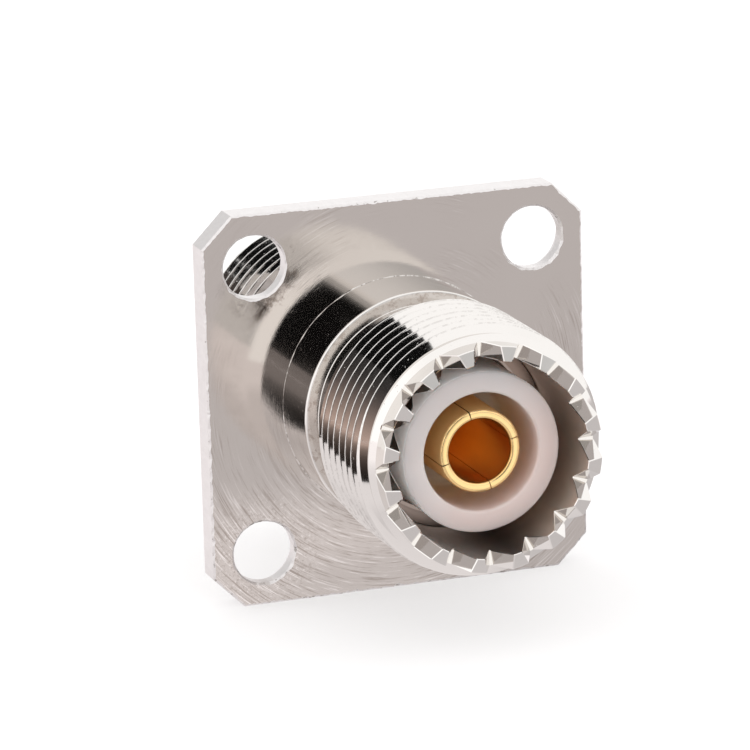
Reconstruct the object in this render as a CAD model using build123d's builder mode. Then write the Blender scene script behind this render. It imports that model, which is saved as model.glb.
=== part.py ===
from build123d import *
import os
from math import cos, radians, sin

# A double-ended UHF adapter with a square panel flange.
# All sizes are in millimetres. The barrel axis is Y, the front barrel points to -Y,
# and the origin is on the axis, in the plane of the flange's front face.
# Heights are measured from that face to the front, and setbacks back from the rim.
# The rear half mirrors the front one.

# Flange
flange_side = 25.0
flange_thickness = 2.0
flange_corner_cut = 1.95
hole_inset = 3.35
hole_diameter = 4.15

# Barrel, outside
neck_radius = 7.62
neck_height = 4.37
neck_edge_bevel = 0.14
relief_radius = 6.78
relief_width = 2.98
thread_radius = 7.87
thread_setback = 2.56
nose_radius = 6.98
rim_height = 16.9
rim_edge_bevel = 0.12

# Locating teeth: V gaps cut across the rim
gap_count = 16
gap_depth = 1.75
gap_half_width = 0.935
gap_root_half_width = 0.05
first_gap_angle = 1.9
gap_overrun = 0.5

# Barrel, inside
cavity_radius = 6.03
cavity_depth = 7.5
middle_bore_radius = 4.3

# Retaining rings
ring_thickness = 1.6
ring_clearance = 0.03

# Insulators
insulator_gap = 1.06
insulator_setback = 2.2
insulator_edge_bevel = 0.12
insulator_flange_thickness = 2.0
insulator_flange_clearance = 0.03
insulator_web = 2.5
recess_radius = 3.65

# Centre contact
contact_radius = 2.56
contact_setback = 2.4
contact_bevel = 0.18
socket_radius = 1.96
socket_depth = 9.0
socket_bevel = 0.2
slot_count = 4
slot_width = 0.22
slot_length = 7.2
first_slot_angle = 15.0
collar_radius = 3.3
collar_thickness = 1.0

# Heights and spacings worked out from the sizes above
hole_spacing = flange_side - 2 * hole_inset
mid_height = -flange_thickness / 2
thread_start = neck_height + relief_width
thread_end = rim_height - thread_setback
cavity_floor = rim_height - cavity_depth
insulator_radius = cavity_radius - insulator_gap
insulator_height = rim_height - insulator_setback
contact_height = rim_height - contact_setback
ring_seat = cavity_floor - ring_thickness
insulator_seat = ring_seat - insulator_flange_thickness
recess_floor = insulator_seat + insulator_web
thread_back = thread_start - (thread_radius - relief_radius)
chamfer_end = thread_end + (thread_radius - nose_radius)
slot_floor = contact_height - slot_length

middle_plane = Plane.XZ.offset(mid_height)


def turned(*points):
    """Close an outline given as (radius, height) and turn it round the barrel axis."""
    with BuildSketch(Plane.XY) as outline:
        with BuildLine():
            Polyline(*[(radius, -height) for radius, height in points], close=True)
        make_face()
    revolve(outline.sketch, axis=Axis.Y)


def spokes(count, first_angle):
    """Planes evenly spaced round the axis, facing outward, with x pointing to the front."""
    angles = [radians(first_angle + 360 / count * index) for index in range(count)]
    return [
        Plane(origin=(0, 0, 0), x_dir=(0, -1, 0), z_dir=(cos(angle), 0, sin(angle)))
        for angle in angles
    ]


# One turned body: flange, both barrels and their toothed rims
with BuildPart() as body:
    turned(
        (middle_bore_radius, mid_height),
        (neck_radius, mid_height),
        (neck_radius, neck_height - neck_edge_bevel),
        (neck_radius - neck_edge_bevel, neck_height),
        (relief_radius, neck_height),
        (relief_radius, thread_back),
        (thread_radius, thread_start),
        (thread_radius, thread_end),
        (nose_radius, chamfer_end),
        (nose_radius, rim_height - rim_edge_bevel),
        (nose_radius - rim_edge_bevel, rim_height),
        (cavity_radius, rim_height),
        (cavity_radius, insulator_seat),
        (middle_bore_radius, insulator_seat),
    )
    gap_slope = (gap_half_width - gap_root_half_width) / gap_depth
    gap_mouth = gap_half_width + gap_overrun * gap_slope
    with BuildSketch(*spokes(gap_count, first_gap_angle)):
        with BuildLine():
            Polyline(
                (rim_height - gap_depth, gap_root_half_width),
                (rim_height + gap_overrun, gap_mouth),
                (rim_height + gap_overrun, -gap_mouth),
                (rim_height - gap_depth, -gap_root_half_width),
                close=True,
            )
        make_face()
    extrude(amount=thread_radius, mode=Mode.SUBTRACT)
    mirror(about=middle_plane)
    with BuildSketch(Plane.XZ) as flange_outline:
        Rectangle(flange_side, flange_side)
        chamfer(flange_outline.vertices(), flange_corner_cut)
        Circle(middle_bore_radius, mode=Mode.SUBTRACT)
        with GridLocations(hole_spacing, hole_spacing, 2, 2):
            Circle(hole_diameter / 2, mode=Mode.SUBTRACT)
    extrude(amount=-flange_thickness)
body.part.label = "body"

# Moulded insulator: a flange that seats in the body and a nose round a deep recess
with BuildPart() as front_insulator:
    turned(
        (contact_radius, insulator_seat),
        (cavity_radius - insulator_flange_clearance, insulator_seat),
        (cavity_radius - insulator_flange_clearance, ring_seat),
        (insulator_radius, ring_seat),
        (insulator_radius, insulator_height - insulator_edge_bevel),
        (insulator_radius - insulator_edge_bevel, insulator_height),
        (recess_radius + insulator_edge_bevel, insulator_height),
        (recess_radius, insulator_height - insulator_edge_bevel),
        (recess_radius, recess_floor),
        (contact_radius, recess_floor),
    )
front_insulator.part.label = "front_insulator"

with BuildPart() as rear_insulator:
    add(mirror(front_insulator.part, about=middle_plane, mode=Mode.PRIVATE))
rear_insulator.part.label = "rear_insulator"

# Ring pressed in over the insulator's flange; its face is the floor of the cavity
with BuildPart() as front_retaining_ring:
    turned(
        (insulator_radius + ring_clearance, ring_seat),
        (cavity_radius, ring_seat),
        (cavity_radius, cavity_floor),
        (insulator_radius + ring_clearance, cavity_floor),
    )
front_retaining_ring.part.label = "front_retaining_ring"

with BuildPart() as rear_retaining_ring:
    add(mirror(front_retaining_ring.part, about=middle_plane, mode=Mode.PRIVATE))
rear_retaining_ring.part.label = "rear_retaining_ring"

# One turned contact: a slotted socket at each end and two collars between the insulators
with BuildPart() as centre_contact:
    turned(
        (0, mid_height),
        (contact_radius, mid_height),
        (contact_radius, insulator_seat - collar_thickness),
        (collar_radius, insulator_seat - collar_thickness),
        (collar_radius, insulator_seat),
        (contact_radius, insulator_seat),
        (contact_radius, contact_height - contact_bevel),
        (contact_radius - contact_bevel, contact_height),
        (socket_radius + socket_bevel, contact_height),
        (socket_radius, contact_height - socket_bevel),
        (socket_radius, contact_height - socket_depth),
        (0, contact_height - socket_depth),
    )
    with BuildSketch(*spokes(slot_count, first_slot_angle)):
        with Locations((slot_floor, 0)):
            Rectangle(2 * slot_length, slot_width, align=(Align.MIN, Align.CENTER))
    extrude(amount=contact_radius + slot_width, mode=Mode.SUBTRACT)
    mirror(about=middle_plane)
centre_contact.part.label = "centre_contact"

os.makedirs("parts", exist_ok=True)
export_step(body.part, "parts/body.step")
export_step(front_insulator.part, "parts/front_insulator.step")
export_step(rear_insulator.part, "parts/rear_insulator.step")
export_step(front_retaining_ring.part, "parts/front_retaining_ring.step")
export_step(rear_retaining_ring.part, "parts/rear_retaining_ring.step")
export_step(centre_contact.part, "parts/centre_contact.step")
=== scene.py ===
import math

import bmesh
import bpy
from mathutils import Matrix, Vector, noise


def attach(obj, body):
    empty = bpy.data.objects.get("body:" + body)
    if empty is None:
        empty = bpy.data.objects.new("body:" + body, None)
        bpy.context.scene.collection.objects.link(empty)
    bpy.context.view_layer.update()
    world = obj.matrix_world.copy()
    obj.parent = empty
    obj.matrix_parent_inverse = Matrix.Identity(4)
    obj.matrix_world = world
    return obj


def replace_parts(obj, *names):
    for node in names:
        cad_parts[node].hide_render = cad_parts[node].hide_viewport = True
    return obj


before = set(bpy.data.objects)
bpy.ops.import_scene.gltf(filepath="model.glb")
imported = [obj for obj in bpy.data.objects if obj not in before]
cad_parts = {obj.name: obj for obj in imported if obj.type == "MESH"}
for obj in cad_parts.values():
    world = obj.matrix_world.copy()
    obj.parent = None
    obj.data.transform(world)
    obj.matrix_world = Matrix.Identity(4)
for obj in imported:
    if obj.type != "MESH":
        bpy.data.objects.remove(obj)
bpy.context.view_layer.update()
print("frame loaded:", sorted(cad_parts))

# Sizes are in millimetres, measured along and round the barrel axis.
# Heights run from the flange's face out to the rim, on the front and on the rear barrel alike.
mm = 0.001

flange = {
    "side": 25.0,
    "thickness": 2.0,
    "cornerCut": 1.95,
    "holeInset": 3.35,
    "holeRadius": 1.99,
    "holeStraight": 0.95,
    "holeFlare": 2.4,
    "holeSteps": 88,
    "edgeStep": 0.13,
    "edgeBevel": 0.12,
    "edgeRagged": 0.6,
    "nickFrom": 0.35,
    "nickSize": 1.6,
    "holeBevel": 0.13,
    "lipRagged": 0.55,
    "lipTorn": 0.35,
    "wallWaver": 0.12,
}

neck = {
    "radius": 7.62,
    "height": 4.37,
    "bevel": 0.14,
    "cornerFillet": 0.035,
    "filletLeast": 0.3,
    "filletRagged": 1.5,
    "reliefRadius": 6.78,
    "reliefEnd": 6.26,
}

thread = {
    "pitch": 1.0583,
    "crestRadius": 7.87,
    "rootRadius": 7.27,
    "apexRadius": 7.9,
    "flankAngle": 30.0,
    "crestRound": 0.05,
    "crestUneven": 0.01,
    "crestLeast": 0.02,
    "crestSteps": 4,
    "lastCrest": 14.343,
    "phaseAngle": 141.0,
    "endChamfer": [(14.35, 7.87), (14.67, 7.61), (14.96, 7.25), (15.23, 6.98)],
    "noseRadius": 6.98,
}

rim = {
    "height": 16.9,
    "gapCount": 16,
    "firstGap": 1.9,
    "rootHeight": 15.15,
    "rootRise": 0.15,
    "rootHalf": 0.05,
    "gapSlope": 0.5057,
    "landFlat": 0.06,
    "landFall": 0.19,
    "landBevel": 0.06,
    "outerEdge": 0.06,
    "innerEdge": 0.05,
    "edgeDrop": 0.05,
    "flankSteps": 6,
    "landSteps": 4,
}

cavity = {
    "radius": 6.03,
    "floor": 9.4,
    "ringSeat": 7.8,
    "insulatorSeat": 5.8,
    "middleBore": 4.3,
}

# the plane that the two barrels mirror each other in, and the holes' distance from the axis each way
midPlane = flange["thickness"] / 2
holeOffset = flange["side"] / 2 - flange["holeInset"]


def at(radius, angle, height, end):
    # a point round the axis, in metres in the row frame; the rear barrel mirrors the front one
    turn = math.radians(angle)
    along = -height if end == "front" else flange["thickness"] + height
    return Vector((radius * math.cos(turn), along, radius * math.sin(turn))) * mm


def ragged(x, y, z, size):
    # smooth noise from -1 to 1 with features of about the given size; on flat work z picks a layer of it
    return noise.noise(Vector((x, y, z)) / size)


class Mesher:
    # collects the rows and strips of one piece and closes them into a mesh
    def __init__(self):
        self.bm = bmesh.new()

    def row(self, points):
        return [self.bm.verts.new(point) for point in points]

    def face(self, corners, finish=0):
        # finish is the place of its material in the piece's list
        made = self.bm.faces.new(corners)
        made.material_index = finish
        return made

    def strip(self, first, second, finish=0, closed=True):
        count = len(first)
        for i in range(count if closed else count - 1):
            j = (i + 1) % count
            self.face((first[i], first[j], second[j], second[i]), finish)

    def edgeLoop(self, verts):
        edges = []
        for i, vert in enumerate(verts):
            other = verts[(i + 1) % len(verts)]
            edges.append(self.bm.edges.get((vert, other)) or self.bm.edges.new((vert, other)))
        return edges

    def fill(self, loops, normal, finish=0):
        edges = [edge for loop in loops for edge in self.edgeLoop(loop)]
        made = bmesh.ops.triangle_fill(self.bm, use_beauty=True, edges=edges, normal=normal)
        for face in made["geom"]:
            if isinstance(face, bmesh.types.BMFace):
                face.material_index = finish

    def finish(self, name, finishes, slot, sharpAngle=14.0):
        near = 0.0002 * mm
        bmesh.ops.remove_doubles(self.bm, verts=self.bm.verts, dist=near)
        bmesh.ops.dissolve_degenerate(self.bm, edges=self.bm.edges, dist=near)
        loose = [vert for vert in self.bm.verts if not vert.link_faces]
        bmesh.ops.delete(self.bm, geom=loose, context="VERTS")
        bmesh.ops.recalc_face_normals(self.bm, faces=self.bm.faces)
        openEdges = sum(1 for edge in self.bm.edges if len(edge.link_faces) != 2)
        volume = self.bm.calc_volume(signed=True) / mm ** 3
        mesh = bpy.data.meshes.new(name)
        self.bm.to_mesh(mesh)
        self.bm.free()
        mesh.shade_smooth()
        mesh.set_sharp_from_angle(angle=math.radians(sharpAngle))
        piece = bpy.data.objects.new(name, mesh)
        bpy.context.scene.collection.objects.link(piece)
        for material in finishes:
            mesh.materials.append(material)
        level = piece.modifiers.new("flatFacesStayFlat", "WEIGHTED_NORMAL")
        level.keep_sharp = True
        level.weight = 100
        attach(piece, "root")
        print(f"{name}: {len(mesh.polygons)} faces, {openEdges} open edges, {volume:.1f} mm3")
        return piece


# Shader maths, written as expressions on sockets

class Value:
    def __init__(self, graph, socket):
        self.graph = graph
        self.socket = socket

    def combine(self, operation, first, second):
        return self.graph.node("ShaderNodeMath", {"operation": operation}, {0: first, 1: second})[0]

    def __add__(self, other):
        return self.combine("ADD", self, other)

    def __radd__(self, other):
        return self.combine("ADD", other, self)

    def __sub__(self, other):
        return self.combine("SUBTRACT", self, other)

    def __rsub__(self, other):
        return self.combine("SUBTRACT", other, self)

    def __mul__(self, other):
        return self.combine("MULTIPLY", self, other)

    def __rmul__(self, other):
        return self.combine("MULTIPLY", other, self)

    def __truediv__(self, other):
        return self.combine("DIVIDE", self, other)

    def __rtruediv__(self, other):
        return self.combine("DIVIDE", other, self)

    def __pow__(self, other):
        return self.combine("POWER", self, other)

    def __rpow__(self, other):
        return self.combine("POWER", other, self)

    def __neg__(self):
        return self.combine("MULTIPLY", self, -1.0)

    def __abs__(self):
        return self.graph.node("ShaderNodeMath", {"operation": "ABSOLUTE"}, {0: self})[0]


class Outputs:
    def __init__(self, graph, made):
        self.graph = graph
        self.made = made

    def __getitem__(self, name):
        return Value(self.graph, self.made.outputs[name])


class Graph:
    def __init__(self, tree):
        self.tree = tree
        tree.nodes.clear()

    def node(self, kind, settings=None, values=None):
        made = self.tree.nodes.new(kind)
        for name, value in (settings or {}).items():
            setattr(made, name, value)
        for name, value in (values or {}).items():
            if isinstance(value, Value):
                self.tree.links.new(value.socket, made.inputs[name])
            else:
                made.inputs[name].default_value = value
        return Outputs(self, made)

    def mixColor(self, factor, first, second):
        settings = {"data_type": "RGBA", "clamp_factor": True}
        return self.node("ShaderNodeMix", settings, {0: factor, 6: first, 7: second})[2]

    def spread(self, value, low, high):
        # 0 at low and under, 1 at high and over, smooth between
        settings = {"interpolation_type": "SMOOTHSTEP", "clamp": True}
        return self.node("ShaderNodeMapRange", settings, {0: value, 1: low, 2: high, 3: 0.0, 4: 1.0})[0]

    def slope(self, value, low, high, first, last):
        # a straight run from first to last, held beyond the ends
        values = {0: value, 1: low, 2: high, 3: first, 4: last}
        return self.node("ShaderNodeMapRange", {"clamp": True}, values)[0]

    def vector(self, x, y, z):
        return self.node("ShaderNodeCombineXYZ", None, {0: x, 1: y, 2: z})[0]

    def scaled(self, vector, level):
        # also for a colour made darker or lighter
        return self.node("ShaderNodeVectorMath", {"operation": "SCALE"}, {0: vector, "Scale": level})[0]

    def split(self, vector):
        parts = self.node("ShaderNodeSeparateXYZ", None, {0: vector})
        return parts["X"], parts["Y"], parts["Z"]

    def place(self):
        # the place on the surface, in millimetres
        return self.scaled(self.node("ShaderNodeTexCoord")["Object"], 1000.0)

    def larger(self, first, second):
        return self.node("ShaderNodeMath", {"operation": "MAXIMUM"}, {0: first, 1: second})[0]

    def speckle(self, vector, scale, detail=2.0, rough=0.5):
        return self.node("ShaderNodeTexNoise", None,
                         {"Vector": vector, "Scale": scale, "Detail": detail, "Roughness": rough})["Fac"]

    def principled(self, values):
        return self.node("ShaderNodeBsdfPrincipled", None, values)["BSDF"]

    def mixShader(self, factor, first, second):
        return self.node("ShaderNodeMixShader", None, {0: factor, 1: first, 2: second})["Shader"]

    def glowing(self, color):
        # a stage surface that shows one colour and reflects nothing
        self.surface({"Base Color": (0, 0, 0, 1), "Roughness": 1.0, "Specular IOR Level": 0.0,
                      "Emission Color": color, "Emission Strength": 1.0})

    def surface(self, values, bump=None):
        # the shader of one finish; bump is (height, distance in millimetres)
        if bump:
            height, distance = bump
            made = self.node("ShaderNodeBump", None,
                             {"Strength": 1.0, "Distance": distance * mm, "Height": height})
            values = {**values, "Normal": made["Normal"]}
        self.node("ShaderNodeOutputMaterial", None, {"Surface": self.principled(values)})


def distance(across, along):
    return (across * across + along * along) ** 0.5


def heightAt(y):
    # height over the nearer face of the plate
    return abs(y - midPlane) - midPlane


def newFinish(name):
    material = bpy.data.materials.new(name)
    material.use_nodes = True
    return material, Graph(material.node_tree)


nickel = {
    "light": (0.76, 0.733, 0.707, 1.0),
    "dark": (0.66, 0.635, 0.60, 1.0),
    "face": (0.69, 0.645, 0.61, 1.0),
    "faceDark": (0.60, 0.55, 0.515, 1.0),
    "streakDark": (0.44, 0.39, 0.355, 1.0),
    "streakPale": (0.90, 0.86, 0.83, 1.0),
    "smudge": (0.30, 0.25, 0.22, 1.0),
    "edge": (0.80, 0.775, 0.77, 1.0),
    "edgeDark": (0.66, 0.63, 0.62, 1.0),
    "worn": (0.20, 0.17, 0.15, 1.0),
    "stained": (0.42, 0.36, 0.32, 1.0),
    # painted shade for the retaining ring's face deep in the cavity
    "ringFace": (0.26, 0.21, 0.19, 1.0),
    # painted shade and warm painted light for the cavity wall
    "wallLow": (0.08, 0.058, 0.052, 1.0),
    "wallRight": (0.82, 0.72, 0.64, 1.0),
    "faceRoughness": 0.064,
    "faceMarks": 0.0016,
    "barrelRoughness": 0.04,
    "barrelMarks": 0.0006,
    "wallRoughness": 0.28,
    "edgeRoughness": 0.3,
    "edgeMarks": 0.02,
    "ringScale": 9.0,
    "hairScale": 30.0,
    "arcScale": 8.5,
    "speckScale": 4.5,
    "speckEdge": (0.69, 0.77),
    "dotEdge": (0.44, 0.58),
    "blotEdge": (0.5, 0.64),
    "wornCrest": 0.2,
    "wornFoot": 0.6,
    "tornEdge": (2.3, 4.6),
    "smudgeEdge": (2.5, 3.5),
    "streakDarkEdge": (0.36, 0.46),
    "streakPaleEdge": (0.56, 0.66),
    "mottlePaleEdge": (0.56, 0.64),
}


def makeBarrelNickel():
    # bright plated turning: clean mirror with faint rings, dull specks and worn crests; the cavity wall
    # and the retaining ring's face carry painted shade and painted light
    material, graph = newFinish("barrelNickel")
    place = graph.place()
    x, y, z = graph.split(place)
    radius, height = distance(x, z), heightAt(y)
    rings = graph.speckle(graph.vector(x * 0.25, y * nickel["ringScale"], z * 0.25), 1.0, 3.0, 0.6)
    specks = graph.spread(graph.speckle(place, nickel["speckScale"], 3.0, 0.6), *nickel["speckEdge"])
    crest = graph.spread(radius, thread["crestRadius"] - 0.13, thread["crestRadius"] - 0.07)
    foot = 1 - graph.spread(height, 0.03, 0.07)
    dots = graph.spread(graph.speckle(place, 2.6, 4.0, 0.7), *nickel["dotEdge"])
    blots = graph.spread(graph.speckle(place, 2.4, 4.0, 0.65), *nickel["blotEdge"])
    fromShoulder = abs(height - neck["height"])
    shoulder = 1 - graph.spread(fromShoulder, 0.005, 0.03)
    shoulder = shoulder * (1 - graph.spread(radius, neck["radius"] - 0.12, neck["radius"] - 0.06))
    # painted shade: the retaining ring and the bore inside the cavity wall are painted dark
    ringFace = 1 - graph.spread(radius, cavity["radius"] - 0.04, cavity["radius"] - 0.02)
    wall = 1 - graph.spread(radius, cavity["radius"] + 0.005, cavity["radius"] + 0.02) - ringFace
    tint = graph.mixColor(specks * 0.5, nickel["light"], nickel["dark"])
    worn = (crest * nickel["wornCrest"] + foot * nickel["wornFoot"]) * dots
    tint = graph.mixColor(worn, tint, nickel["worn"])
    tint = graph.mixColor(shoulder * (0.2 + blots * 0.5), tint, nickel["stained"])
    tint = graph.mixColor(ringFace, tint, nickel["ringFace"])
    # the cavity wall gets painted shade from the middle across, then a warm painted light towards the
    # right
    wallLightAndShade = graph.mixColor(graph.spread(x, -2.0, 2.0), nickel["light"], nickel["wallLow"])
    wallLightAndShade = graph.mixColor(graph.spread(x, 1.0, 4.5), wallLightAndShade, nickel["wallRight"])
    tint = graph.mixColor(wall, tint, wallLightAndShade)
    roughness = nickel["barrelRoughness"] + specks * 0.22 + crest * 0.08 + rings * 0.04 + shoulder * 0.05
    roughness = roughness + wall * (nickel["wallRoughness"] - nickel["barrelRoughness"])
    dents = crest * graph.speckle(place, 2.8, 3.0, 0.6)
    marks = rings + specks * 6.0 + dents * 9.0
    graph.surface({"Base Color": tint, "Metallic": 1.0, "Roughness": roughness},
                  (marks, nickel["barrelMarks"]))
    return material


def makeFaceNickel():
    # the flange's faces: lathe-turned, so rings round the axis blur what they mirror
    material, graph = newFinish("faceNickel")
    place = graph.place()
    x, y, z = graph.split(place)
    radius = distance(x, z)
    east, north = x / radius, z / radius
    rings = graph.vector(radius * nickel["ringScale"], east * 5.0, north * 5.0)
    rings = graph.speckle(rings, 1.0, 4.0, 0.62)
    hair = graph.vector(radius * nickel["hairScale"], east * 14.0, north * 14.0)
    hair = graph.speckle(hair, 1.0, 2.0, 0.5)
    arcs = graph.vector(radius * nickel["arcScale"], east * 4.0, north * 4.0)
    arcs = graph.speckle(arcs, 1.0, 3.0, 0.65)
    cloud = graph.speckle(place, 0.16, 2.0, 0.5)
    lower = graph.spread(-z - x * 0.55, 4.0, 15.0)
    marked = graph.spread(cloud + lower * 0.4, 0.45, 0.8)
    deep = graph.spread(rings, 0.62, 0.72) * marked
    # torn round the lower left hole, smudged beside the upper left one
    torn = 1 - graph.spread(distance(x + holeOffset, z + holeOffset), *nickel["tornEdge"])
    streaked = marked * 0.8 + torn * 0.3
    mottle = graph.speckle(place, 4.6, 4.0, 0.7)
    smudged = 1 - graph.spread(distance(x + holeOffset, z - holeOffset), *nickel["smudgeEdge"])
    smudged = smudged * graph.spread(x - z + 2 * holeOffset, 0.0, 2.5)
    smudged = smudged * graph.spread(graph.speckle(place, 0.9, 5.0, 0.75), 0.48, 0.6)
    darkSpots = (1 - graph.spread(mottle, *nickel["streakDarkEdge"])) * torn * 0.8
    paleSpots = graph.spread(mottle, *nickel["mottlePaleEdge"]) * torn * 0.8
    darkStreaks = (1 - graph.spread(arcs, *nickel["streakDarkEdge"])) * streaked
    paleStreaks = graph.spread(arcs, *nickel["streakPaleEdge"]) * streaked
    tint = graph.mixColor(cloud * 0.5, nickel["face"], nickel["faceDark"])
    tint = graph.mixColor(darkSpots, tint, nickel["streakDark"])
    tint = graph.mixColor(paleSpots, tint, nickel["streakPale"])
    tint = graph.mixColor(darkStreaks, tint, nickel["streakDark"])
    tint = graph.mixColor(paleStreaks, tint, nickel["streakPale"])
    tint = graph.mixColor(smudged * 0.8, tint, nickel["smudge"])
    roughness = nickel["faceRoughness"] + marked * 0.09 + deep * 0.1
    marks = rings * (0.25 + marked * 2.2) + hair * (0.5 + marked * 0.6) + deep * 1.2
    graph.surface({"Base Color": tint, "Metallic": 1.0, "Roughness": roughness},
                  (marks, nickel["faceMarks"]))
    return material


def makeEdgeNickel():
    # sheared edges and drilled holes: matt, with torn grain across the thickness
    material, graph = newFinish("edgeNickel")
    place = graph.place()
    x, y, z = graph.split(place)
    tears = graph.speckle(graph.vector(x * 3.0, y * 1.1, z * 3.0), 1.0, 4.0, 0.65)
    grain = graph.speckle(place, 9.0, 3.0, 0.6)
    low = 1 - graph.spread(z, -8.0, 6.0)
    nicks = graph.spread(graph.speckle(place, 2.3, 4.0, 0.65) + low * 0.07, 0.62, 0.7)
    tint = graph.mixColor(tears, nickel["edge"], nickel["edgeDark"])
    tint = graph.mixColor(nicks * (1 - graph.spread(y, 0.1, 0.2)) * 0.7, tint, nickel["worn"])
    roughness = nickel["edgeRoughness"] + grain * 0.15
    graph.surface({"Base Color": tint, "Metallic": 1.0, "Roughness": roughness},
                  (tears + grain * 0.4, nickel["edgeMarks"]))
    return material


barrelNickel = makeBarrelNickel()
faceNickel = makeFaceNickel()
edgeNickel = makeEdgeNickel()
print("nickel finishes made")


# The body: plate, necks, threads and toothed rims

bodyNickel = [barrelNickel, faceNickel, edgeNickel]
barrelFinish, faceFinish, edgeFinish = 0, 1, 2


def rimStation(radius, drop):
    # (angle, height) of every column of the toothed rim at one radius
    reach = radius - cavity["radius"]
    wall = thread["noseRadius"] - cavity["radius"]
    landHeight = rim["height"] - rim["landFall"] * max(0.0, reach - rim["landFlat"])
    rootHeight = rim["rootHeight"] + rim["rootRise"] * reach / wall
    half = []
    for step in range(rim["flankSteps"] + 1):
        share = step / rim["flankSteps"]
        height = rootHeight + share * (landHeight - rim["landBevel"] - rootHeight)
        half.append((rim["rootHalf"] + rim["gapSlope"] * (height - rim["rootHeight"]), height))
    half.append((half[-1][0] + rim["landBevel"], landHeight))
    spacing = 360.0 / rim["gapCount"]
    edge = math.degrees(math.asin(half[-1][0] / radius))
    columns = []
    for gap in range(rim["gapCount"]):
        centre = rim["firstGap"] + spacing * gap
        for across, height in reversed(half):
            columns.append((centre - math.degrees(math.asin(across / radius)), height - drop))
        for across, height in half:
            columns.append((centre + math.degrees(math.asin(across / radius)), height - drop))
        for step in range(1, rim["landSteps"]):
            share = step / rim["landSteps"]
            columns.append((centre + edge + share * (spacing - 2 * edge), landHeight - drop))
    return columns


def threadLimit(height):
    # the radius left by the relief's far wall and by the end chamfer
    limit = neck["reliefRadius"] + height - neck["reliefEnd"]
    chamfer = thread["endChamfer"]
    for (h0, r0), (h1, r1) in zip(chamfer, chamfer[1:]):
        if height > h0:
            limit = min(limit, r0 + (height - h0) * (r1 - r0) / (h1 - h0))
        else:
            limit = min(limit, thread["crestRadius"])
    return limit


def limitShare(start, stop):
    # how far along a stretch of the outline it crosses the limit, or 0 where it doesn't
    def over(share):
        radius = start[0] + share * (stop[0] - start[0])
        return radius > threadLimit(start[1] + share * (stop[1] - start[1]))

    if over(0.0) == over(1.0):
        return 0.0
    low, high = 0.0, 1.0
    for halving in range(14):
        middle = (low + high) / 2
        if over(middle) == over(0.0):
            low = middle
        else:
            high = middle
    return low


def threadOutline(angle, hand):
    # the thread's outline in one plane through the axis, cut by the relief and the end chamfer
    apex = thread["apexRadius"]
    rootRadius = thread["rootRadius"]
    rise = (apex - rootRadius) * math.tan(math.radians(thread["flankAngle"]))
    arc = 90.0 - thread["flankAngle"]
    shift = hand * thread["pitch"] * (angle - thread["phaseAngle"]) / 360
    turn = math.radians(angle)
    corners = []
    # enough laps to reach past the relief and past the chamfer at every angle
    for lap in range(-9, 3):
        crest = thread["lastCrest"] + shift + lap * thread["pitch"]
        # the noise runs round the axis, with a layer of its own for each lap and each barrel
        spot = (6 * math.cos(turn), 6 * math.sin(turn), lap * 3.0 + hand * 40)
        uneven = ragged(*spot, 0.3) + 0.6 * ragged(*spot, 0.16)
        # the crest is rounded between two straight flanks that would meet at the apex
        bow = max(thread["crestLeast"], thread["crestRound"] + thread["crestUneven"] * uneven)
        corners.append((rootRadius, crest - rise))
        for step in range(thread["crestSteps"] + 1):
            lean = math.radians(-arc + 2 * arc * step / thread["crestSteps"])
            corners.append((apex - 2 * bow + bow * math.cos(lean), crest + bow * math.sin(lean)))
        corners.append((rootRadius, crest + rise))

    chamferEnd = thread["endChamfer"][-1][0]
    outline = []
    for (r0, h0), (r1, h1) in zip(corners, corners[1:]):
        share = limitShare((r0, h0), (r1, h1))
        for r, h in ((r0, h0), (r0 + share * (r1 - r0), h0 + share * (h1 - h0))):
            held = min(max(h, neck["reliefEnd"]), chamferEnd)
            outline.append((min(r, threadLimit(held)), held))
    return outline


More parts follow.
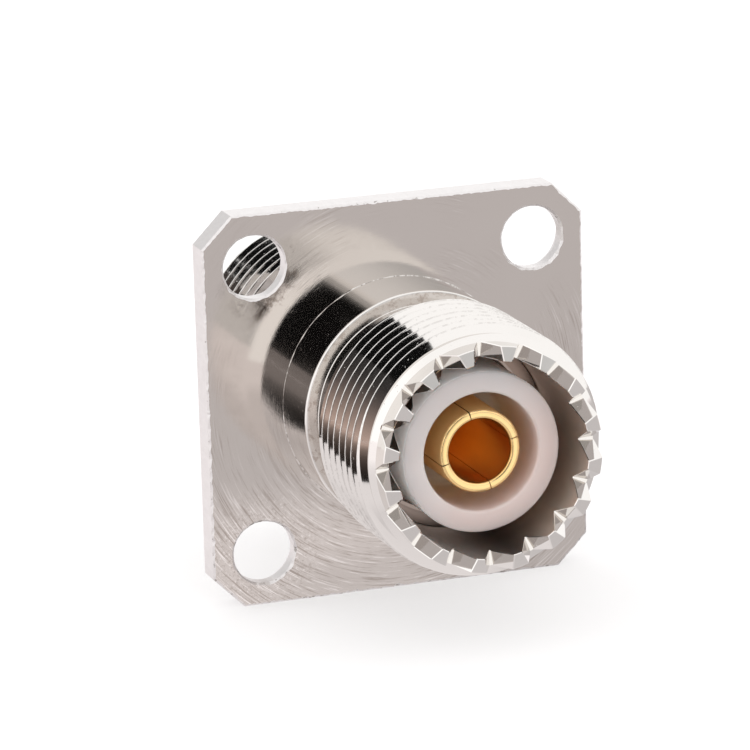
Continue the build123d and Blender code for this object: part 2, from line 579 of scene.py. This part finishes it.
def buildBarrel(mesher, end):
    hand = 1 if end == "front" else -1
    outer, inner = thread["noseRadius"], cavity["radius"]
    radii = [outer, outer - rim["outerEdge"], (outer + inner) / 2, inner + rim["innerEdge"], inner]
    drops = [rim["edgeDrop"], 0.0, 0.0, 0.0, rim["edgeDrop"]]
    stations = [rimStation(radius, drop) for radius, drop in zip(radii, drops)]
    angles = [angle for angle, height in stations[0]]
    innerAngles = [angle for angle, height in stations[-1]]

    def rowAt(radius, height, columns=angles):
        return mesher.row(at(radius, angle, height, end) for angle in columns)

    # an uneven fillet at the foot of the neck, the neck, and the relief behind the thread
    fillet = neck["cornerFillet"]
    bevel = neck["bevel"]
    corner = []
    for angle in angles:
        turn = math.radians(angle)
        spot = (8 * math.cos(turn), 8 * math.sin(turn), 70.0)
        size = 1 + neck["filletRagged"] * ragged(*spot, 0.7)
        corner.append(fillet * max(neck["filletLeast"], size))
    outline = [(neck["radius"], neck["height"] - bevel)]
    for step in (1, 2, 3):
        turn = math.radians(30 * step)
        outline.append((neck["radius"] - bevel * (1 - math.cos(turn)),
                        neck["height"] - bevel * (1 - math.sin(turn))))
    outline += [(neck["reliefRadius"] + fillet, neck["height"]),
                (neck["reliefRadius"], neck["height"] + fillet), (neck["reliefRadius"], neck["reliefEnd"])]
    rows = [mesher.row(at(neck["radius"] + outward * size, angle, upward * size, end)
                       for angle, size in zip(angles, corner))
            for outward, upward in ((1.0, 0.0), (0.3, 0.3), (0.0, 1.0))]
    rows += [rowAt(radius, height) for radius, height in outline]
    for first, second in zip(rows, rows[1:]):
        mesher.strip(first, second)
    base = rows[0]

    # the thread winds on by one turn where the columns close
    closing = angles + [angles[0] + 360.0]
    columns = [mesher.row(at(radius, angle, height, end) for radius, height in threadOutline(angle, hand))
               for angle in closing]
    for first, second in zip(columns, columns[1:]):
        mesher.strip(first, second, closed=False)
    bottom = [column[0] for column in columns[:-1]]
    top = [column[-1] for column in columns[:-1]]
    mesher.strip(rows[-1], bottom)

    # nose, toothed rim and bore
    rims = [mesher.row(at(radius, angle, height, end) for angle, height in station)
            for radius, station in zip(radii, stations)]
    mesher.strip(top, rims[0])
    for first, second in zip(rims, rims[1:]):
        mesher.strip(first, second)
    bore = [rowAt(radius, height, innerAngles) for radius, height in
            ((inner, cavity["floor"]), (inner, cavity["insulatorSeat"]),
             (cavity["middleBore"], cavity["insulatorSeat"]), (cavity["middleBore"], -midPlane))]
    mesher.strip(rims[-1], bore[0])
    for first, second in zip(bore, bore[1:]):
        mesher.strip(first, second)
    return base


def flangeOutline():
    # the plate's eight corners in turn
    half = flange["side"] / 2
    cut = half - flange["cornerCut"]
    corners = [(half, -cut), (half, cut), (cut, half), (-cut, half),
               (-half, cut), (-half, -cut), (-cut, -half), (cut, -half)]
    return [Vector(corner) for corner in corners]


def plateLoop(insetOf, heightOf):
    # points along the plate's edge, moved in by insetOf and set to heightOf at each one
    corners = flangeOutline()
    points = []
    for i, start in enumerate(corners):
        stop = corners[(i + 1) % len(corners)]
        run = stop - start
        steps = max(8, round(run.length / flange["edgeStep"]))
        outward = Vector((run.y, -run.x)).normalized()
        before = (start - corners[i - 1]).normalized()
        after = (corners[(i + 2) % len(corners)] - stop).normalized()
        ahead = run.normalized()
        startLean = math.tan(before.angle(ahead) / 2)
        stopLean = math.tan(ahead.angle(after) / 2)
        for step in range(steps):
            share = step / steps
            spot = start + run * share
            inset = insetOf(spot.x, spot.y)
            lean = startLean * (1 - share) - stopLean * share
            moved = spot - outward * inset + ahead * inset * lean
            points.append(Vector((moved.x, heightOf(spot.x, spot.y), moved.y)) * mm)
    return points


def buildFlange(mesher, frontBase, rearBase):
    thick = flange["thickness"]
    bevel = flange["edgeBevel"]
    rough = flange["edgeRagged"]

    def frontBevel(x, y):
        nick = max(0.0, ragged(x, y, 7.0, 0.33) - flange["nickFrom"]) * flange["nickSize"]
        return bevel * (1.0 + rough * ragged(x, y, 0.0, 0.5) + 0.4 * ragged(x, y, 3.0, 0.17) + nick)

    def rearBevel(x, y):
        return bevel * (0.9 + 0.4 * rough * ragged(x, y, 9.0, 0.5))

    loops = [mesher.row(plateLoop(frontBevel, lambda x, y: 0.0)),
             mesher.row(plateLoop(lambda x, y: 0.0, lambda x, y: frontBevel(x, y) * 0.9)),
             mesher.row(plateLoop(lambda x, y: 0.0, lambda x, y: thick - rearBevel(x, y))),
             mesher.row(plateLoop(rearBevel, lambda x, y: thick))]
    for first, second in zip(loops, loops[1:]):
        mesher.strip(first, second, edgeFinish)

    frontLoops = [loops[0], frontBase]
    rearLoops = [loops[-1], rearBase]
    for cx in (-holeOffset, holeOffset):
        for cy in (-holeOffset, holeOffset):
            # a torn lip, a short straight wall, then a flare out to the rear face
            straight = flange["holeRadius"]
            flare = flange["holeFlare"]
            outlines = [[], [], [], []]
            for step in range(flange["holeSteps"]):
                turn = 2 * math.pi * step / flange["holeSteps"]
                dx, dy = math.cos(turn), math.sin(turn)
                spot = (cx + dx * 2, cy + dy * 2)
                torn = flange["lipRagged"] * ragged(*spot, 0.0, 0.5)
                torn += flange["lipTorn"] * ragged(*spot, 5.0, 0.2)
                lip = flange["holeBevel"] * (1.0 + torn)
                wallEnd = flange["holeStraight"] + flange["wallWaver"] * ragged(*spot, 40.0, 0.6)
                profile = [(straight + lip, 0.0), (straight, lip), (straight, wallEnd), (flare, thick)]
                for points, (radius, along) in zip(outlines, profile):
                    points.append(Vector((cx + radius * dx, along, cy + radius * dy)) * mm)
            rows = [mesher.row(points) for points in outlines]
            for first, second in zip(rows, rows[1:]):
                mesher.strip(first, second, edgeFinish)
            frontLoops.append(rows[0])
            rearLoops.append(rows[-1])
    mesher.fill(frontLoops, Vector((0, -1, 0)), faceFinish)
    mesher.fill(rearLoops, Vector((0, 1, 0)), faceFinish)


bodyMesher = Mesher()
frontBase = buildBarrel(bodyMesher, "front")
rearBase = buildBarrel(bodyMesher, "rear")
buildFlange(bodyMesher, frontBase, rearBase)
body = bodyMesher.finish("nickelBody", bodyNickel, "nickel_plate", sharpAngle=9.0)
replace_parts(body, "body")


# Turned pieces inside the cavities

def turned(mesher, outline, end, steps=160):
    rows = [mesher.row(at(radius, 360.0 * step / steps, height, end) for step in range(steps))
            for radius, height in outline]
    for first, second in zip(rows, rows[1:] + rows[:1]):
        mesher.strip(first, second)


def rounded(outline, corner, radius, steps=4):
    # replaces one corner of an outline with an arc
    here = Vector(outline[corner])
    before = (Vector(outline[corner - 1]) - here).normalized()
    after = (Vector(outline[(corner + 1) % len(outline)]) - here).normalized()
    half = before.angle(after) / 2
    centre = here + (before + after).normalized() * radius / math.sin(half)
    first = here + before * radius / math.tan(half) - centre
    last = here + after * radius / math.tan(half) - centre
    sweep = first.angle(last)
    arc = []
    for step in range(steps + 1):
        share = step / steps
        spot = (first * math.sin((1 - share) * sweep) + last * math.sin(share * sweep)) / math.sin(sweep)
        arc.append(tuple(centre + spot))
    return outline[:corner] + arc + outline[corner + 1:]


ring = {
    "innerRadius": 5.0,
    "clearance": 0.001,
    "innerEdge": 0.04,
    "outerEdge": 0.07,
}


def makeRing(name, end):
    mesher = Mesher()
    outside = cavity["radius"] - ring["clearance"]
    outline = [(ring["innerRadius"], cavity["ringSeat"]), (outside, cavity["ringSeat"]),
               (outside, cavity["floor"]), (ring["innerRadius"], cavity["floor"])]
    outline = rounded(outline, 3, ring["innerEdge"])
    outline = rounded(outline, 2, ring["outerEdge"])
    turned(mesher, outline, end)
    return mesher.finish(name, [barrelNickel], "nickel_plate")


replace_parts(makeRing("frontRing", "front"), "front_retaining_ring")
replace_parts(makeRing("rearRing", "rear"), "rear_retaining_ring")


insulator = {
    "radius": 4.97,
    "height": 14.7,
    "flangeRadius": 6.0,
    "recessRadius": 3.65,
    "recessFloor": 8.3,
    "boreRadius": 2.56,
    "edge": 0.16,
    "floorFillet": 0.5,
    "recessFade": 0.4,
    "color": (0.67, 0.615, 0.61, 1.0),
    # painted shade, darker and pinker, for the lower right of the insulator
    "shade": (0.64, 0.52, 0.495, 1.0),
    # painted light for the insulator's outer wall
    "side": (0.97, 0.945, 0.93, 1.0),
    # painted warm bounce light from the gold contact, for the recess wall
    "recess": (1.0, 0.80, 0.62, 1.0),
    "roughness": 0.36,
    "grain": 0.0012,
    "scatter": 0.9,
    "scatterColor": (1.0, 0.85, 0.8),
    "scatterReach": 3.0,
    "refraction": 1.48,
}


def makePlastic():
    # pale moulded plastic with a soft sheen; painted shade to the lower right, painted light on the outer
    # wall and a painted warm bounce down the recess
    material, graph = newFinish("palePlastic")
    place = graph.place()
    x, y, z = graph.split(place)
    radius = distance(x, z)
    cloud = graph.speckle(place, 0.5, 2.0, 0.5)
    grain = graph.speckle(place, 14.0, 3.0, 0.6)
    # painted shade: darker and pinker towards the lower right, mottled by the cloud
    lowerRightShade = graph.spread(x - z + cloud * 3.0, -2.0, 6.0)
    tint = graph.mixColor(lowerRightShade, insulator["color"], insulator["shade"])
    # painted warm bounce from the gold contact, stronger deeper down the recess
    inner = 1 - graph.spread(radius, insulator["recessRadius"] + 0.02, insulator["recessRadius"] + 0.1)
    top = insulator["height"] - insulator["recessFade"]
    depth = 1 - graph.spread(heightAt(y), insulator["recessFloor"], top)
    # painted light: the outer wall is painted near white, lighter than the face
    side = graph.spread(radius, insulator["radius"] - 0.05, insulator["radius"] - 0.005)
    tint = graph.mixColor(inner * depth, tint, insulator["recess"])
    tint = graph.mixColor(side, tint, insulator["side"])
    roughness = insulator["roughness"] + grain * 0.08
    scatter = {"Subsurface Weight": insulator["scatter"], "Subsurface Radius": insulator["scatterColor"],
               "Subsurface Scale": insulator["scatterReach"] * mm, "IOR": insulator["refraction"]}
    graph.surface({"Base Color": tint, "Roughness": roughness, **scatter}, (grain, insulator["grain"]))
    return material


palePlastic = makePlastic()


def makeInsulator(name, end):
    mesher = Mesher()
    outline = [(insulator["boreRadius"], cavity["insulatorSeat"]),
               (insulator["flangeRadius"], cavity["insulatorSeat"]),
               (insulator["flangeRadius"], cavity["ringSeat"]),
               (insulator["radius"], cavity["ringSeat"]),
               (insulator["radius"], insulator["height"]),
               (insulator["recessRadius"], insulator["height"]),
               (insulator["recessRadius"], insulator["recessFloor"]),
               (insulator["boreRadius"], insulator["recessFloor"])]
    outline = rounded(outline, 6, insulator["floorFillet"], steps=6)
    outline = rounded(outline, 5, insulator["edge"])
    outline = rounded(outline, 4, insulator["edge"])
    turned(mesher, outline, end, steps=192)
    return mesher.finish(name, [palePlastic], "white_plastic", sharpAngle=40.0)


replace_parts(makeInsulator("frontInsulator", "front"), "front_insulator")
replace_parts(makeInsulator("rearInsulator", "rear"), "rear_insulator")


contact = {
    "radius": 2.56,
    "height": 14.5,
    "socketRadius": 1.96,
    "socketFloor": 5.5,
    "slotFloor": 7.3,
    "slotWidthInside": 0.035,
    "slotWidthOutside": 0.09,
    "firstSlot": 15.0,
    "fingers": 4,
    "fingerSteps": 30,
    "floorCone": 0.4,
    "outerEdge": 0.2,
    "innerEdge": 0.24,
    "collarRadius": 3.3,
    "collarStart": 4.8,
    "collarEnd": 5.8,
    "bright": (1.0, 0.73, 0.35, 1.0),
    # painted shade for the gold down the bore
    "deep": (0.84, 0.45, 0.12, 1.0),
    "roughness": 0.2,
    "boreRougher": 0.1,
    "wallRougher": 0.32,
    "ringScale": 10.0,
    "marks": 0.0015,
}


def makeGold():
    # gold plate over turned metal, with painted shade making it deeper in colour down the bore
    material, graph = newFinish("goldPlate")
    x, y, z = graph.split(graph.place())
    radius = distance(x, z)
    rings = graph.speckle(graph.vector(x * 0.6, y * contact["ringScale"], z * 0.6), 1.0, 3.0, 0.6)
    bore = 1 - graph.spread(radius, contact["socketRadius"] + 0.02, contact["socketRadius"] + 0.12)
    wall = graph.spread(radius, contact["radius"] - 0.05, contact["radius"] - 0.01)
    # painted shade: the bore is mixed towards the deep gold
    tint = graph.mixColor(bore * 0.8 + rings * 0.15, contact["bright"], contact["deep"])
    roughness = contact["roughness"] + bore * contact["boreRougher"] + wall * contact["wallRougher"]
    roughness = roughness + rings * 0.06
    graph.surface({"Base Color": tint, "Metallic": 1.0, "Roughness": roughness},
                  (rings, contact["marks"]))
    return material


goldPlate = makeGold()


def makeContact():
    mesher = Mesher()
    thickness = contact["radius"] - contact["socketRadius"]
    widening = (contact["slotWidthOutside"] - contact["slotWidthInside"]) / thickness
    span = 360.0 / contact["fingers"]
    solid = [(contact["radius"], -midPlane), (contact["radius"], contact["collarStart"]),
             (contact["collarRadius"], contact["collarStart"]),
             (contact["collarRadius"], contact["collarEnd"]),
             (contact["radius"], contact["collarEnd"]), (contact["radius"], contact["slotFloor"])]
    fingers = [(contact["radius"], contact["slotFloor"]), (contact["radius"], contact["height"]),
               (contact["socketRadius"], contact["height"]),
               (contact["socketRadius"], contact["slotFloor"])]
    fingers = rounded(fingers, 2, contact["innerEdge"], steps=7)
    fingers = rounded(fingers, 1, contact["outerEdge"], steps=7)
    steps = contact["fingerSteps"]
    for end in ("front", "rear"):
        def columnsAt(radius):
            width = contact["slotWidthInside"] + widening * (radius - contact["socketRadius"])
            slotEdge = math.degrees(math.asin(width / 2 / radius))
            spots = []
            for finger in range(contact["fingers"]):
                start = contact["firstSlot"] + span * finger + slotEdge
                spots += [start + (span - 2 * slotEdge) * step / steps for step in range(steps + 1)]
            return spots

        def rowAt(radius, height):
            return mesher.row(at(radius, angle, height, end) for angle in columnsAt(radius))

        outside = [rowAt(radius, height) for radius, height in solid]
        for first, second in zip(outside, outside[1:]):
            mesher.strip(first, second)
        rows = [outside[-1]] + [rowAt(radius, height) for radius, height in fingers[1:]]
        for finger in range(contact["fingers"]):
            start = finger * (steps + 1)
            for first, second in zip(rows, rows[1:]):
                mesher.strip(first[start:start + steps + 1], second[start:start + steps + 1], closed=False)
            mesher.face([row[start] for row in rows])
            mesher.face([row[start + steps] for row in rows])
            after = (start + steps + 1) % len(rows[0])
            mesher.face((rows[0][start + steps], rows[0][after], rows[-1][after], rows[-1][start + steps]))
        bottom = rowAt(contact["socketRadius"], contact["socketFloor"])
        mesher.strip(rows[-1], bottom)
        centre = mesher.bm.verts.new(at(0.0, 0.0, contact["socketFloor"] - contact["floorCone"], end))
        for i, vert in enumerate(bottom):
            mesher.face((vert, bottom[(i + 1) % len(bottom)], centre))
    return mesher.finish("goldContact", [goldPlate], "gold_plate", sharpAngle=35.0)


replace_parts(makeContact(), "centre_contact")
print("contact, insulators and rings made")


# Floor, tent, mirror cards and camera

# the names with Edge say where one level passes into the next
paper = {
    "height": -12.5,
    "reach": 900.0,
    "lit": (0.62, 0.60, 0.59, 1.0),
    "seen": (0.52, 0.51, 0.51, 1.0),
    "seenLift": 0.49,
    "mirrorTint": (1.0, 0.96, 0.965),
    "mirrored": 0.70,
    "left": 0.26,
    "farLeft": 1.26,
    "behind": 1.15,
    # painted shadow level that mirrors see close round the object
    "under": 0.86,
    "frontEdge": (14.0, 28.0),
    "sideEdge": (0.0, 8.0),
    "leftEdge": (-20.0, -8.0),
    "farLeftEdge": (28.0, 70.0),
    "behindEdge": (0.0, 15.0),
    "underEdge": (4.0, 12.0),
}


def makeFloor():
    # paper that keeps the object's shadow; mirrors see a painted floor instead, lighter to the left, with
    # a painted shadow close round the object
    material, graph = newFinish("palePaper")
    rays = graph.node("ShaderNodeLightPath")
    x, y, z = graph.split(graph.place())
    near = (1 - graph.spread(-y, *paper["frontEdge"])) * (1 - graph.spread(x, *paper["sideEdge"]))
    left = graph.larger(near, 1 - graph.spread(x, *paper["leftEdge"]))
    # a painted shadow that mirrors see on the floor close round the object
    under = paper["under"] + (1 - paper["under"]) * graph.spread(distance(x, y), *paper["underEdge"])
    level = (paper["mirrored"] + left * paper["left"]) * under
    level = level + graph.spread(-x, *paper["farLeftEdge"]) * (paper["farLeft"] - level)
    level = level + graph.spread(y, *paper["behindEdge"]) * (paper["behind"] - level)
    shown = graph.scaled(paper["mirrorTint"], level)
    plain = {"Roughness": 0.9, "Specular IOR Level": 0.0}
    lift = {"Emission Strength": 1.0, "Emission Color": (paper["seenLift"],) * 3 + (1,)}
    seen = graph.principled({**plain, **lift, "Base Color": paper["seen"]})
    lit = graph.principled({**plain, "Base Color": paper["lit"]})
    mirrored = graph.node("ShaderNodeEmission", None, {"Color": shown, "Strength": 1.0})["Emission"]
    other = graph.mixShader(rays["Is Glossy Ray"], lit, mirrored)
    whole = graph.mixShader(rays["Is Camera Ray"], other, seen)
    graph.node("ShaderNodeOutputMaterial", None, {"Surface": whole})
    mesh = bpy.data.meshes.new("floor")
    reach = paper["reach"] * mm
    sides = [(-reach, -reach), (reach, -reach), (reach, reach), (-reach, reach)]
    mesh.from_pydata([(x, y, paper["height"] * mm) for x, y in sides], [], [(0, 1, 2, 3)])
    mesh.materials.append(material)
    floor = bpy.data.objects.new("floor", mesh)
    bpy.context.scene.collection.objects.link(floor)


tent = {
    "bright": 1.25,
    "dim": 0.67,
    "left": 1.38,
    "rear": 0.85,
    "fill": 0.85,
    "highEdge": (0.0, 0.6),
    "rightEdge": (0.45, 0.85),
    "behindEdge": (-0.5, 0.1),
    "leftEdge": (0.2, 0.6),
    "rearEdge": (0.45, 0.7),
    "rearSideEdge": (-0.1, 0.2),
}


def makeTent():
    # white all round, dimmer straight in front at the height of the object
    world = bpy.data.worlds.new("whiteTent")
    bpy.context.scene.world = world
    world.use_nodes = True
    graph = Graph(world.node_tree)
    x, y, z = graph.split(graph.node("ShaderNodeTexCoord")["Generated"])
    high = graph.spread(z, *tent["highEdge"])
    right = graph.spread(x, *tent["rightEdge"])
    behind = graph.spread(y, *tent["behindEdge"])
    left = graph.spread(-x, *tent["leftEdge"])
    white = 1 - (1 - high) * (1 - right) * (1 - behind)
    level = tent["dim"] + white * (tent["bright"] - tent["dim"])
    level = level + left * (tent["left"] - level)
    # mirrors find the tent dimmer behind on the left; matt surfaces find it lighter in front
    rays = graph.node("ShaderNodeLightPath")
    mirror = rays["Is Glossy Ray"]
    rear = graph.spread(y, *tent["rearEdge"]) * (1 - graph.spread(x, *tent["rearSideEdge"])) * mirror
    level = level + rear * (tent["rear"] - level)
    level = level + (1 - mirror) * (1 - white) * tent["fill"]
    color = graph.mixColor(rays["Is Camera Ray"], graph.scaled((1, 1, 1), level), (1, 1, 1, 1))
    shader = graph.node("ShaderNodeBackground", None, {"Color": color, "Strength": 1.0})
    graph.node("ShaderNodeOutputWorld", None, {"Surface": shader["Background"]})


opening = {
    "gray": (0.29, 0.265, 0.26, 1.0),
    "beige": (0.56, 0.42, 0.36, 1.0),
    "black": (0.004, 0.004, 0.004, 1.0),
    "softWhite": (1.08, 1.06, 1.04, 1.0),
    "discWhite": (1.25, 1.23, 1.2, 1.0),
    "beigeEdge": (0.5, 0.8),
    "fadeEdge": (-0.02, 0.46),
    "fadeTo": 0.36,
    "nearest": 30.0,
    "openGray": 110.0,
    "openBeige": 190.0,
    "softEdge": (-0.05, 0.09),
}


def makeRoom():
    # what stands outside the tent's opening: lighter low down, darker up and close by
    material, graph = newFinish("room")
    x, y, z = graph.split(graph.place())
    away = -y
    aside = x / y
    up = z / away
    beige = graph.spread(aside, *opening["beigeEdge"])
    color = graph.mixColor(beige, opening["gray"], opening["beige"])
    fading = graph.slope(up, *opening["fadeEdge"], 1.0, opening["fadeTo"]) ** 2.0
    fully = beige * (opening["openBeige"] - opening["openGray"]) + opening["openGray"]
    opened = graph.slope(away, opening["nearest"], fully, 0.0, 1.0) ** 1.3
    graph.glowing(graph.mixColor(fading * opened, opening["black"], color))
    return material


def makePlain(name, color):
    # the same colour all over
    material, graph = newFinish(name)
    graph.glowing(color)
    return material


def makeSoftEdge():
    # fades from black to the tent's white, from left to right
    material, graph = newFinish("softEdge")
    x, y, z = graph.split(graph.place())
    white = graph.spread(-x / y, *opening["softEdge"])
    graph.glowing(graph.mixColor(white, opening["black"], opening["softWhite"]))
    return material


def makeCard(name, corners, material):
    # a card that only mirrors see
    mesh = bpy.data.meshes.new(name)
    mesh.from_pydata([Vector(corner) * mm for corner in corners], [], [tuple(range(len(corners)))])
    mesh.materials.append(material)
    card = bpy.data.objects.new(name, mesh)
    bpy.context.scene.collection.objects.link(card)
    card.visible_camera = False
    card.visible_diffuse = False
    card.visible_shadow = False
    card.visible_transmission = False


def upright(slopes, away):
    # corners of a card that faces the object, given as slopes seen from it
    return [(aside * away, -away, up * away) for aside, up in slopes]


def disc(centre, radius, away, sides=12):
    turns = [2 * math.pi * side / sides for side in range(sides)]
    across, up = centre
    return [(across + radius * math.cos(turn), -away, up + radius * math.sin(turn)) for turn in turns]


# upright cards are given by slopes aside and up, the low one by places across and away
# the contact's end mirrors the disc, which the barrel hides from the plate
cards = {
    "room": [(-1.02, -0.04), (-0.38, -0.04), (-0.38, 0.62), (-1.02, 0.62)],
    "roomAway": 302.0,
    "lowSpots": [(-14.5, 30.3), (-33, 40.5), (-68, 58), (-308, 302), (-115, 302)],
    "lowHeight": -12.46,
    "black": [(-0.47, 0.052), (-0.38, 0.052), (-0.02, 0.38), (-0.04, 0.86), (-0.05, 1.0),
              (-0.47, 1.0), (-0.47, 0.74), (-0.6, 0.74), (-0.6, 0.6), (-0.47, 0.6)],
    "blackAway": 301.0,
    "soft": [(-0.05, 0.34), (0.09, 0.34), (0.09, 0.56), (-0.05, 0.68)],
    "softAway": 300.0,
    "discCentre": (6.4, -5.1),
    "discRadius": 6.0,
    "discAway": 33.0,
}


makeFloor()
makeTent()
room = makeRoom()
makeCard("roomBeyond", upright(cards["room"], cards["roomAway"]), room)
makeCard("roomLow", [(across, -away, cards["lowHeight"]) for across, away in cards["lowSpots"]], room)
makeCard("lensAndStand", upright(cards["black"], cards["blackAway"]), makePlain("black", opening["black"]))
makeCard("softEdge", upright(cards["soft"], cards["softAway"]), makeSoftEdge())
makeCard("whiteDisc", disc(cards["discCentre"], cards["discRadius"], cards["discAway"]),
         makePlain("white", opening["discWhite"]))


view = {
    "lens": 230.04,
    "right": (0.94227, -0.33366, -0.02811),
    "up": (0.11020, 0.22975, 0.96699),
    "back": (-0.31619, -0.91427, 0.25325),
    "place": (-0.096014, -0.273232, 0.077131),
    "nearest": 0.01,
}

camera = bpy.data.objects.new("camera", bpy.data.cameras.new("camera"))
bpy.context.scene.collection.objects.link(camera)
bpy.context.scene.camera = camera
camera.data.sensor_width = 36.0
camera.data.lens = view["lens"]
camera.data.clip_start = view["nearest"]
axes = [view[name] for name in ("right", "up", "back", "place")]
camera.matrix_world = Matrix([[axis[i] for axis in axes] for i in range(3)] + [[0, 0, 0, 1]])

bpy.context.scene.view_settings.view_transform = "Standard"
print("stage and camera made")
